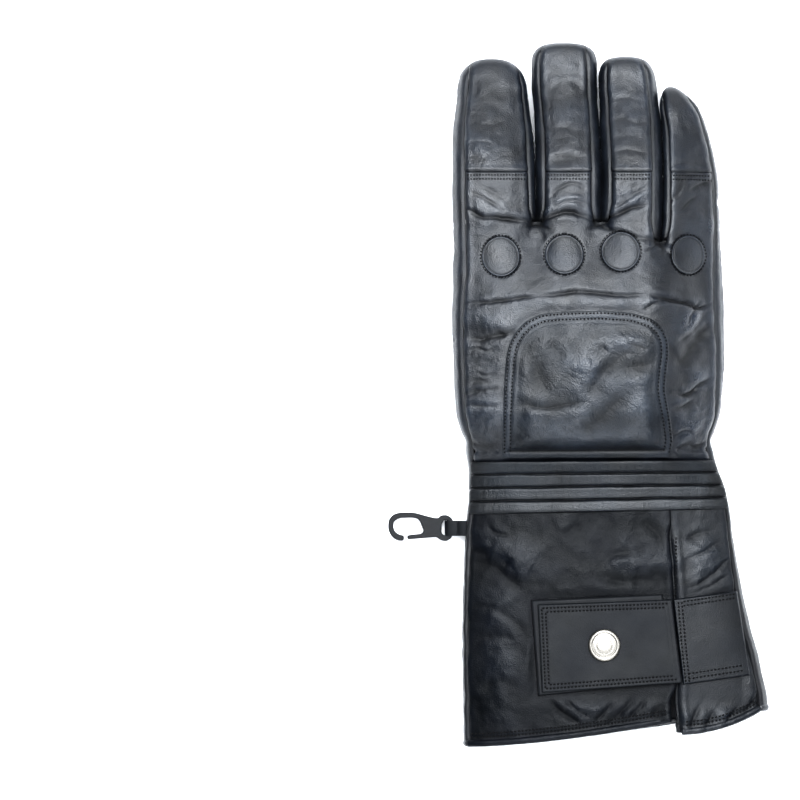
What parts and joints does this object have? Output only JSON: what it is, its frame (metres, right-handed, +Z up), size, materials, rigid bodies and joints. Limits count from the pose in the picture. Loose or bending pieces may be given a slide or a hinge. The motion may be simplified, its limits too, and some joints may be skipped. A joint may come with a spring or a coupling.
{
  "type": "motorcycle glove",
  "caption": "Right-hand leather riding gauntlet, hollow for the hand, with padded knuckles and back, ribbed wrist, snap strap and a clip, lying palm down with the thumb folded under",
  "frame": {"origin": "bottom centre of the glove's bounding box, on the surface that it lies on", "axes": "+Y from the cuff to the fingertips, +X from the index finger to the little finger, +Z up out of the back of the hand"},
  "size_m": [0.1702, 0.316, 0.0473],
  "materials": {
    "palm_leather": "soft drum-dyed nappa, satin",
    "back_leather": "soft drum-dyed nappa, satin sheen",
    "padded_leather": "nappa over foam, satin sheen",
    "nickel": "nickel-plated brass snap cap, polished",
    "clip_plastic": "moulded black plastic"
  },
  "bodies": {
    "root": {"palm": "palm_leather", "palm_gusset": "palm_leather", "side_index": "palm_leather", "side_little": "palm_leather", "fourchette_1": "palm_leather", "fourchette_2": "palm_leather", "fourchette_3": "palm_leather", "thumb_outer": "palm_leather", "thumb_gusset": "palm_leather", "thumb_inner": "palm_leather", "heel_patch": "palm_leather", "cuff_palm": "palm_leather", "hem_back": "palm_leather", "hem_side": "palm_leather", "hem_palm": "palm_leather", "hook_loop": "palm_leather", "back_hand": "back_leather", "index_top": "back_leather", "middle_top": "back_leather", "ring_top": "back_leather", "little_top": "back_leather", "cuff_back": "back_leather", "cuff_side": "back_leather", "strap_patch": "back_leather", "strap_tab": "back_leather", "strap_end": "back_leather", "knuckle_disc_1": "padded_leather", "knuckle_disc_2": "padded_leather", "knuckle_disc_3": "padded_leather", "knuckle_disc_4": "padded_leather", "back_pad": "padded_leather", "wrist_ribs": "padded_leather", "snap_cap": "nickel", "hook": "clip_plastic"}
  },
  "joints": []
}
